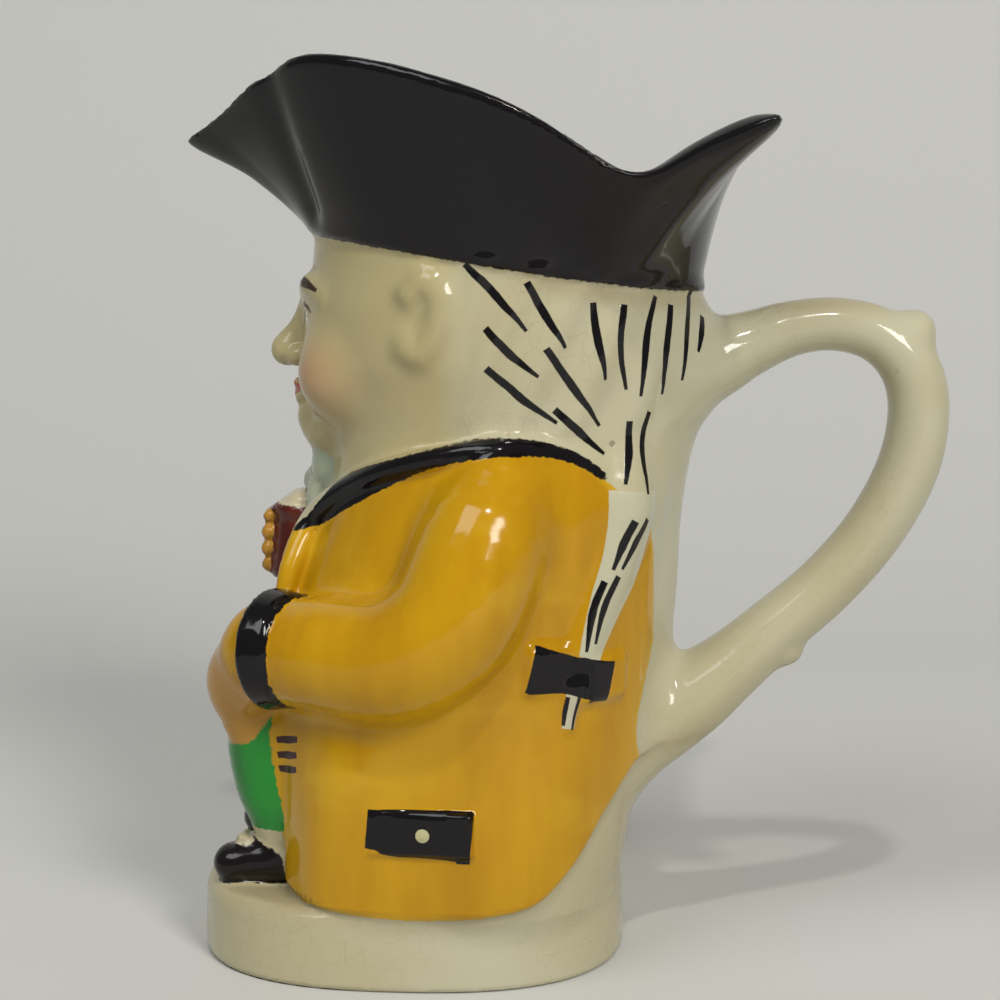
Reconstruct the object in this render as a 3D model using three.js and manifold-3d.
// A toby jug: a slip-cast earthenware pitcher in the shape of a seated man in a three-cornered hat.
// Millimetres, +Z up. The man faces -Y and +X is his left. The origin is the middle of the flat underside.
// The jug is one hollow casting: the coat, head and hat are a formed lathe standing on a low base, with
// the handle, arms, hands, mug and legs joined on and the inside cut out through the open hat.
import * as THREE from "three";
import { mergeVertices } from "three/addons/utils/BufferGeometryUtils.js";
import Module from "manifold-3d";

const WALL = 4; // thickness of the cast wall
const FLOOR = 6; // height of the floor inside
const FLOOR_CORNER = 8; // radius between the floor and the wall
const LIP = 1.2; // how far the brim's edge is rounded off
const HEM_LIP = 1.4; // how far the coat's hem stands out from what it covers
const COAT_ENDS = 48; // above this height there is no more to stand out from
const BAND_MIDDLE = 121.2; // height of the hat's lower edge at the sides
const BAND_TILT = 4.8; // how much higher it is at the front, and lower at the back
const BAND_STEP = 0.9; // how far the hat's lower edge stands out from the head
const FLARE = 1.2; // 1 makes the brim straight, more makes it turn out late

const STEPS = 40; // facets round the figure, outside and inside

// The figure without its limbs: height, front, back, half width, squareness in front and behind.
const SECTIONS = [
  [0, -22.5, 35, 33, 3.3, 2.5],
  [13, -23, 37.5, 34.5, 3.3, 2.5],
  [25, -23, 39.5, 35, 3.2, 2.5],
  [36, -24, 41, 35, 2.9, 2.4],
  [46, -25.5, 42, 34.5, 2.5, 2.3],
  [56, -25.5, 43, 34, 2.3, 2.3],
  [66, -22.5, 43.8, 33.5, 2.2, 2.2],
  [75, -18.5, 44.5, 32.8, 2.2, 2.2],
  [82, -15.5, 45.8, 31.5, 2.2, 2.2],
  [87, -14.5, 46.8, 30, 2.1, 2.1],
  [92, -15, 47.6, 28, 2.1, 2.1],
  [98, -17.5, 48.6, 28.3, 2, 2],
  [105, -19.5, 49, 29.3, 2, 2],
  [113, -19.5, 48.8, 29.5, 2, 2],
  [121, -18, 48, 29, 2, 2],
  [133, -17.5, 47.5, 29, 2, 2],
];

// Below the lap the coat hangs open: how far back the shins' side lies, to which angle and height.
const OPENING = { depth: 3.6, angle: 29, edge: 7, top: 37, fade: 7 };

// The hem of the coat: angle from the front, height.
const HEM = [
  [0, 15.5],
  [44, 14.6],
  [74, 13.3],
  [90, 13.3],
  [104, 14],
  [116, 15.8],
  [125, 20.5],
  [136, 28.5],
  [155, 36.5],
  [180, 40],
];

// The hat's rim: angle from the front, reach from the axis, height. It has a spout at the front,
// two raised side flaps and two corners behind.
const RIM = [
  [0, 54.4, 142.4],
  [9, 51, 145.7],
  [23, 46.6, 151],
  [36, 44.4, 154],
  [46, 43.2, 155],
  [61, 40.8, 154],
  [73, 38.8, 152.2],
  [90, 38, 148.5],
  [104, 40.3, 143.9],
  [112, 43.2, 140.2],
  [119, 46.8, 136.9],
  [124, 50.5, 136.8],
  [130, 57.4, 141.7],
  [135, 63.2, 145],
  [141, 57, 143],
  [152, 47, 140],
  [180, 40, 138],
];

// The low block under the figure: height, inset, with its plan's front, back, half width, squareness.
const BASE_PLAN = { front: -38, back: 36.7, half: 33, squareness: 2.5 };
const BASE_EDGE = [[0, 1.6], [0.8, 0.5], [2, 0], [11, 0.4], [12.6, 1], [13.4, 2.4]];

const HANDLE = {
  line: [
    [0, 40, 104],
    [0, 50, 104],
    [0, 57, 106.6],
    [0, 65, 109.5],
    [0, 73, 110.3],
    [0, 80.5, 108.2],
    [0, 85.6, 102.8],
    [0, 87.2, 95],
    [0, 85.4, 85],
    [0, 79.8, 74.2],
    [0, 71.8, 64.6],
    [0, 63.2, 56.9],
    [0, 55, 49.6],
    [0, 47, 43.5],
    [0, 36, 37],
  ],
  radii: [11, 7.6, 5.8, 4.8, 4.6, 4.9, 5.2, 5.3, 5.4, 5.3, 5.3, 5.5, 6.2, 7.6, 9],
  width: 1.2, // width over thickness
};
const THUMB_REST = { at: [0, 86.2, 109.2], size: [4, 3.7, 3.7] };
const HEEL = { at: [0, 65.2, 52.6], size: [4, 2.6, 2.2] }; // the small step low on the handle
const ROOT = { line: [[0, 43, 106], [0, 39.5, 84], [0, 38.2, 62], [0, 36, 40]], radii: [7.5, 6.6, 6.6, 6], width: 1.1 };

const ARM = {
  line: [[26.5, 17, 84], [31.5, 14, 76], [35, 9, 64], [34.5, 0, 57.5], [30, -12, 57], [25.5, -22, 57]],
  radii: [9, 10.5, 10.6, 10.4, 9.6, 8.4],
};
const MUG_ARM = {
  line: [[-26.5, 17, 84], [-31.5, 14, 76], [-35, 8, 65], [-33, -2, 60], [-26, -12, 62], [-18, -18, 65]],
  radii: [9, 10.5, 10.6, 10.2, 9.2, 7.6],
};
const CUFF = { at: [26.5, -20, 57.2], along: [-0.45, -0.88, -0.06], radius: 10, length: 5.5 };
const MUG_CUFF = { at: [-20.5, -17, 64.3], along: [0.78, -0.55, 0.28], radius: 8.6, length: 5 };
const PALM = { line: [[24, -24, 55], [19, -27.5, 50], [17, -27, 44]], radii: [7.4, 7, 5.6] };
// The fingers lie one above another across the knee.
const FINGER = { from: [19.5, -28, 49.8], to: [9, -32, 48.6], drop: 3.7, retreat: 0.55, radius: 2.1, count: 4 };
const MUG = { at: [-4, -20, 64.3], radius: 6.8, height: 13.4, head: 2.2, lean: 0.08 };
const MUG_FINGER = { from: [-12.6, -20, 67.4], over: [-9.6, -26, 67.2], to: [-3, -27.6, 67], drop: -2.9, radius: 1.8 };
const LEG = { line: [[13, -14, 44], [13.5, -22, 41], [13.5, -22.8, 33], [13.5, -22.2, 26], [13.5, -21.8, 19]], radii: [9.5, 9.4, 8.4, 6.4, 5] };
const SHOE = { line: [[13.3, -19, 17], [13.8, -25, 17.4], [14.6, -31.3, 16.6]], radii: [4.6, 4.4, 3.5], width: 1.15 };
const COLLAR = {
  line: [[20, -21.5, 62], [15.5, -16.5, 72], [14.5, -13, 80], [21, -7.5, 85.5], [27.6, 4, 89.5], [29, 16, 91.2], [24, 31, 89]],
  radii: [1.6, 2.2, 2.4, 2.4, 2.4, 2.4, 2],
};
const QUEUE = { line: [[16, 39, 92], [17, 39, 84], [20, 37.2, 76], [24.5, 33.4, 67], [28, 29.6, 58]], radii: [5, 3.8, 3.2, 2.6, 2] };
const BOW = { at: [28, 28.6, 53.6], size: [2.6, 7.4, 4.2], turn: -0.75 };
const POCKET = { at: [34.6, 3.8, 28.2], size: [1.7, 17.6, 7.8], turn: -0.09 };

const wasm = await Module();
wasm.setup();

// A smooth line through rows of [place, value, value...], level at both ends.
function through(rows, place) {
  const last = rows.length - 1;
  if (place <= rows[0][0]) return rows[0].slice(1);
  if (place >= rows[last][0]) return rows[last].slice(1);
  const i = rows.findIndex((row) => row[0] > place) - 1;
  const slope = (k, j) =>
    k <= 0 || k >= last ? 0 : (rows[k + 1][j] - rows[k - 1][j]) / (rows[k + 1][0] - rows[k - 1][0]);
  const span = rows[i + 1][0] - rows[i][0];
  const t = (place - rows[i][0]) / span;
  const blend = 3 * t * t - 2 * t * t * t;
  const leave = t * (1 - t) * (1 - t) * span;
  const arrive = t * t * (t - 1) * span;
  return rows[i].slice(1).map((value, column) => {
    const j = column + 1;
    const next = rows[i + 1][j];
    return value + (next - value) * blend + slope(i, j) * leave + slope(i + 1, j) * arrive;
  });
}

// An angle in radians as degrees away from the front, the same on both sides.
const fromFront = (angle) => Math.abs(THREE.MathUtils.radToDeg(Math.atan2(Math.sin(angle), Math.cos(angle))));
const bandHeight = (angle) => BAND_MIDDLE + BAND_TILT * Math.cos(angle);
const hemHeight = (angle) => through(HEM, fromFront(angle))[0];

function rim(angle) {
  const [reach, height] = through(RIM, fromFront(angle));
  return { reach, height };
}

function axisY(z) {
  const [front, back] = through(SECTIONS, z);
  return (front + back) / 2;
}

// How far a rounded rectangle reaches from its middle at an angle from the front.
function planReach(angle, front, back, half, inFront, behind = inFront) {
  const squareness = Math.cos(angle) > 0 ? inFront : behind;
  const across = Math.abs(Math.sin(angle)) / half;
  const along = Math.abs(Math.cos(angle)) / ((back - front) / 2);
  return (across ** squareness + along ** squareness) ** (-1 / squareness);
}

function bodyReach(angle, z) {
  const { depth, angle: reach, edge, top, fade } = OPENING;
  const open = 1 - THREE.MathUtils.smoothstep(fromFront(angle), reach, reach + edge);
  const below = 1 - THREE.MathUtils.smoothstep(z, top, top + fade);
  return planReach(angle, ...through(SECTIONS, z)) - depth * open * below;
}

// The outside of the figure, with the brim above the hat's lower edge.
function outsideReach(angle, z) {
  const band = bandHeight(angle);
  const edge = rim(angle);
  const up = (z - band) / (edge.height - band);
  const body = bodyReach(angle, z);
  if (up <= 0) return body;
  const flare = edge.reach - bodyReach(angle, edge.height) - BAND_STEP;
  return body + BAND_STEP + flare * up ** FLARE;
}

// What the coat covers, down to the base.
function underReach(angle, z) {
  const covered = 1 - THREE.MathUtils.smoothstep(z, COAT_ENDS, COAT_ENDS + 10);
  return outsideReach(angle, z) - HEM_LIP * covered;
}

// The inside stands WALL inside the outside, measured square to it.
function insideReach(angle, z) {
  const nudge = 0.03;
  const reach = underReach(angle, z);
  const turning = (underReach(angle + nudge, z) - underReach(angle - nudge, z)) / (2 * nudge * reach);
  const rising = (underReach(angle, z + 1) - underReach(angle, z - 1)) / 2;
  const up = Math.min(1, (z - FLOOR) / FLOOR_CORNER);
  const corner = FLOOR_CORNER * (1 - Math.sqrt(1 - (1 - up) ** 2));
  return reach - WALL * Math.hypot(1, turning, rising) - corner;
}

const placed = (angle, z, reach, middle = axisY(z)) =>
  new THREE.Vector3(reach * Math.sin(angle), middle - reach * Math.cos(angle), z);

// A lathe whose ring number k lies at shape(angle, k), closed on its axis at both ends.
function formedLathe(rings, shape, low, high) {
  const profile = [new THREE.Vector2(0, 0)];
  for (let k = 0; k < rings; k++) profile.push(new THREE.Vector2(1, k));
  profile.push(new THREE.Vector2(0, rings - 1));
  const geometry = new THREE.LatheGeometry(profile, STEPS);
  const position = geometry.getAttribute("position");
  for (let i = 0; i < position.count; i++) {
    const [x, k, z] = [position.getX(i), Math.round(position.getY(i)), position.getZ(i)];
    const end = k === 0 ? low : high;
    const point = Math.hypot(x, z) < 0.5 ? end : shape(Math.atan2(x, z), k);
    position.setXYZ(i, point.x, point.y, point.z);
  }
  return geometry;
}

// A ring's height: rings near the hem follow it, and rings near the hat follow its lower edge.
function ringHeight(angle, nominal) {
  const hem = hemHeight(angle);
  if (nominal < COAT_ENDS) return hem + ((COAT_ENDS - hem) * nominal) / COAT_ENDS;
  const follow = THREE.MathUtils.smoothstep(nominal, 98, BAND_MIDDLE);
  return nominal + follow * (bandHeight(angle) - BAND_MIDDLE);
}

const COAT_RINGS = [0, 0.7, 14, 31, COAT_ENDS, 56, 63, 70, 77, 82.5, 87, 90.5, 95, 101, 108, 120.7];
const BRIM_RINGS = [0.02, 0.25, 0.5, 0.75, 0.94];

function figure() {
  const shape = (angle, k) => {
    if (k < COAT_RINGS.length) {
      const z = ringHeight(angle, COAT_RINGS[k]);
      return placed(angle, z, k === 0 ? underReach(angle, z) : bodyReach(angle, z));
    }
    const edge = rim(angle);
    const band = bandHeight(angle);
    const up = BRIM_RINGS[k - COAT_RINGS.length];
    if (up === undefined) return placed(angle, edge.height, edge.reach - LIP);
    const z = band + up * (edge.height - band);
    return placed(angle, z, outsideReach(angle, z));
  };
  const rings = COAT_RINGS.length + BRIM_RINGS.length + 1;
  return formedLathe(rings, shape, placed(0, COAT_ENDS, 0), placed(0, BAND_MIDDLE + 10, 0));
}

function seat() {
  const heights = [10, 22, 33, 44];
  const shape = (angle, k) => placed(angle, heights[k], underReach(angle, heights[k]));
  return formedLathe(heights.length, shape, placed(0, 10, 0), placed(0, 44, 0));
}

function base() {
  const { front, back, half, squareness } = BASE_PLAN;
  const middle = (front + back) / 2;
  const shape = (angle, k) => {
    const [z, inset] = BASE_EDGE[k];
    return placed(angle, z, planReach(angle, front, back, half, squareness) - inset, middle);
  };
  const top = BASE_EDGE[BASE_EDGE.length - 1][0];
  return formedLathe(BASE_EDGE.length, shape, placed(0, 0, 0, middle), placed(0, top, 0, middle));
}

const INSIDE_RINGS = [6, 6.7, 8.4, 14, 30, 46, 60, 73, 83, 89, 95, 106, 120.7];
const INSIDE_BRIM = [0.33, 0.67, 1, 1.3]; // it goes on past the rim

function inside() {
  const shape = (angle, k) => {
    const edge = rim(angle);
    const band = bandHeight(angle);
    const nominal = INSIDE_RINGS[k];
    const follow = THREE.MathUtils.smoothstep(nominal, 98, BAND_MIDDLE);
    const z =
      nominal === undefined
        ? band + INSIDE_BRIM[k - INSIDE_RINGS.length] * (edge.height - band)
        : nominal + follow * (band - BAND_MIDDLE);
    return placed(angle, z, insideReach(angle, z));
  };
  const rings = INSIDE_RINGS.length + INSIDE_BRIM.length;
  return formedLathe(rings, shape, placed(0, FLOOR, 0), placed(0, BAND_MIDDLE + 70, 0));
}

// A capsule bent along a smooth line, with a radius at each of its points and its width across `side`.
function limb({ line, radii, width = 1 }, around = 10, steps = 8, side = [1, 0, 0]) {
  const curve = new THREE.CatmullRomCurve3(line.map((p) => new THREE.Vector3(...p)));
  const table = radii.map((radius, i) => [i / (radii.length - 1), radius]);
  const geometry = new THREE.CapsuleGeometry(1, 2, 2, around, steps);
  const position = geometry.getAttribute("position");
  const across = new THREE.Vector3(...side).normalize();
  for (let i = 0; i < position.count; i++) {
    const [x, y, z] = [position.getX(i), position.getY(i), position.getZ(i)];
    const along = THREE.MathUtils.clamp((y + 1) / 2, 0, 1);
    const beyond = y - THREE.MathUtils.clamp(y, -1, 1);
    const tangent = curve.getTangent(along);
    const second = new THREE.Vector3().crossVectors(tangent, across).normalize();
    const first = new THREE.Vector3().crossVectors(second, tangent);
    const [radius] = through(table, along);
    const point = curve
      .getPoint(along)
      .addScaledVector(tangent, beyond * radius)
      .addScaledVector(first, x * radius * width)
      .addScaledVector(second, z * radius);
    position.setXYZ(i, point.x, point.y, point.z);
  }
  return geometry;
}

// A sphere stretched to three half sizes, turned about Z.
function blob({ at, size, turn = 0 }, around = 8, rings = 6) {
  return new THREE.SphereGeometry(1, around, rings)
    .scale(...size)
    .rotateZ(turn)
    .translate(...at);
}

// A lathe from pairs of radius and height, turned to stand along a direction.
function turned(pairs, at, along, steps = 14) {
  const up = new THREE.Vector3(0, 1, 0);
  const turn = new THREE.Quaternion().setFromUnitVectors(up, new THREE.Vector3(...along).normalize());
  const profile = pairs.map(([radius, height]) => new THREE.Vector2(radius, height));
  return new THREE.LatheGeometry(profile, steps).applyQuaternion(turn).translate(...at);
}

function cuff({ at, along, radius, length }) {
  const half = length / 2;
  const pairs = [[0, -half], [radius - 0.9, -half], [radius, -half + 0.9], [radius, half - 0.9], [radius - 0.9, half], [0, half]];
  return turned(pairs, at, along);
}

function mug() {
  const { at, radius, height, head, lean } = MUG;
  const pairs = [
    [0, 0],
    [radius - 0.4, 0],
    [radius, 0.8],
    [radius * 0.9, height * 0.5],
    [radius * 0.95, height - 0.6],
    [radius * 0.82, height],
    [radius * 0.6, height + head * 0.8],
    [0, height + head],
  ];
  return turned(pairs, at, [0, lean, 1]);
}

// The flap of the coat's pocket, lying flat on the skirt.
function pocket(side) {
  const [x, y, z] = POCKET.at;
  return new THREE.BoxGeometry(...POCKET.size).rotateZ(side * POCKET.turn).translate(side * x, y, z);
}

function fingers() {
  const { from, to, drop, retreat, radius, count } = FINGER;
  return Array.from({ length: count }, (_, k) => {
    const lower = ([x, y, z]) => [x - 0.4 * k, y + retreat * k, z - drop * k];
    const middle = [(from[0] + to[0]) / 2, (from[1] + to[1]) / 2 - 1.2, (from[2] + to[2]) / 2 + 0.3];
    return limb({ line: [from, middle, to].map(lower), radii: [radius, radius * 1.05, radius * 0.85] }, 6, 3, [0, 0, 1]);
  });
}

function mugFingers() {
  const { from, over, to, drop, radius } = MUG_FINGER;
  return [0, 1, 2, 3].map((k) => {
    const raise = ([x, y, z]) => [x + (k === 3 ? -0.8 : 0), y + 0.1 * k, z - drop * k];
    return limb({ line: [from, over, to].map(raise), radii: [radius, radius, radius * 0.85] }, 6, 2, [0, 0, 1]);
  });
}

function face() {
  const sides = ({ at: [x, y, z], ...rest }) => [blob({ at: [x, y, z], ...rest }), blob({ at: [-x, y, z], ...rest })];
  return [
    blob({ at: [0, -20.5, 105.6], size: [3.8, 4.4, 3.8] }), // tip of the nose
    limb({ line: [[0, -19, 113.5], [0, -20.6, 106.5]], radii: [2.2, 2.8] }, 8, 1), // its bridge
    blob({ at: [0, -17.2, 92.6], size: [8, 4.6, 4.6] }), // chin
    ...sides({ at: [11, -12.5, 101.5], size: [8.4, 7.4, 7.4] }), // cheeks
    ...sides({ at: [9, -15, 115.5], size: [7, 4.4, 2.6] }), // brows
    ...sides({ at: [28.4, 5, 108.5], size: [2.4, 4, 6.6] }), // ears
    blob({ at: [0, -14.6, 85], size: [8, 4.6, 5] }), // cravat
  ];
}

const mirrored = ({ line, ...rest }) => ({ ...rest, line: line.map(([x, y, z]) => [-x, y, z]) });
const both = (spec, around, steps) => [limb(spec, around, steps), limb(mirrored(spec), around, steps)];

function figureParts() {
  return [
    limb(ARM, 11, 10),
    limb(MUG_ARM, 11, 10),
    cuff(CUFF),
    cuff(MUG_CUFF),
    limb(PALM, 10, 4),
    ...fingers(),
    mug(),
    ...mugFingers(),
    ...both(LEG, 10, 6),
    ...both(SHOE, 8, 4),
    ...both(COLLAR, 5, 9),
    ...both(QUEUE, 6, 6),
    blob(BOW),
    blob({ ...BOW, at: [-BOW.at[0], BOW.at[1], BOW.at[2]], turn: -BOW.turn }),
    pocket(1),
    pocket(-1),
  ];
}

function handleParts() {
  return [limb(HANDLE, 12, 24), limb(ROOT, 8, 4), blob(THUMB_REST), blob(HEEL)];
}

function solidOf(geometry) {
  const bare = geometry.clone();
  bare.deleteAttribute("normal");
  bare.deleteAttribute("uv");
  const merged = mergeVertices(bare, 1e-4);
  const vertProperties = new Float32Array(merged.getAttribute("position").array);
  const triVerts = new Uint32Array(merged.index.array);
  const solid = new wasm.Manifold(new wasm.Mesh({ numProp: 3, vertProperties, triVerts }));
  if (solid.volume() > 0) return solid;
  return new wasm.Manifold(new wasm.Mesh({ numProp: 3, vertProperties, triVerts: triVerts.reverse() }));
}

function geometryOf(solid) {
  const mesh = solid.getMesh();
  const geometry = new THREE.BufferGeometry();
  geometry.setAttribute("position", new THREE.BufferAttribute(mesh.vertProperties, 3));
  geometry.setIndex(new THREE.BufferAttribute(mesh.triVerts, 1));
  geometry.computeVertexNormals();
  return geometry;
}

function jug() {
  const parts = [seat(), base(), ...handleParts(), ...figureParts(), ...face()];
  const outside = parts.reduce((whole, part) => whole.add(solidOf(part)), solidOf(figure()));
  // Pockets of air sealed between the parts are filled: only the one real shell is kept.
  const shells = outside.subtract(solidOf(inside())).decompose();
  return geometryOf(shells.find((shell) => shell.volume() > 1));
}

const glaze = new THREE.MeshStandardMaterial({ color: 0xe9e4cc, roughness: 0.12, metalness: 0 });
const body = new THREE.Mesh(jug(), glaze);
body.name = "toby_jug";

const group = new THREE.Group();
group.name = "toby_jug_group";
group.add(body);

export default group;
